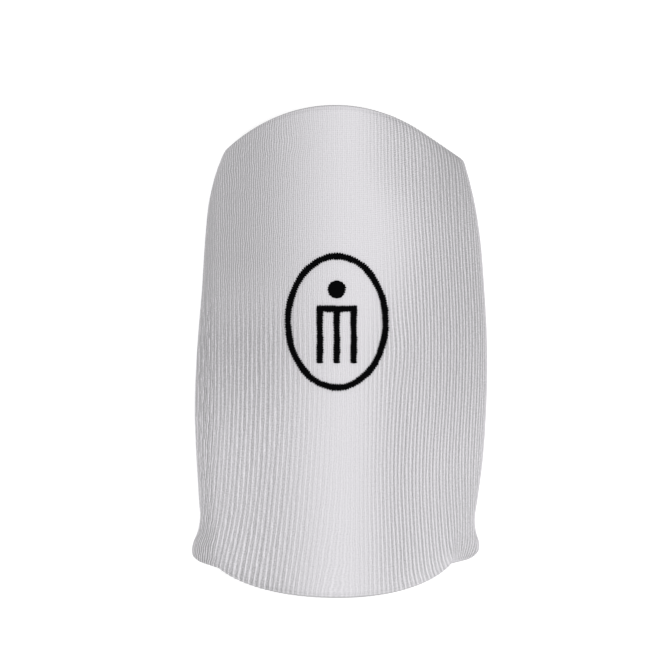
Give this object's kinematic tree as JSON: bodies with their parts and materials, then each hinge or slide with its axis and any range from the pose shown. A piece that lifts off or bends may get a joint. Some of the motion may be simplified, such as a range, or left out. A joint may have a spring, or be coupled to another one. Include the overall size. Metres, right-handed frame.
{
  "type": "cricket arm guard",
  "caption": "White ribbed-knit cricket arm guard with a foam-padded arched front, thin stretch back and black embroidered emblem, lying on its back.",
  "frame": {"origin": "middle of the back's resting face, under the middle of the guard's bounding box", "axes": "+Z out of the padded front, +Y along the forearm towards the narrow end, +X to the right when the front is looked at with the narrow end up"},
  "size_m": [0.149, 0.25, 0.0513],
  "materials": {
    "padded_knit": "matte",
    "stretch_knit": "matte",
    "badge_thread": "satin"
  },
  "bodies": {
    "root": {"padded_front": "padded_knit", "stretch_back": "stretch_knit", "badge_ring": "badge_thread", "badge_wicket": "badge_thread", "badge_ball": "badge_thread"}
  },
  "joints": []
}
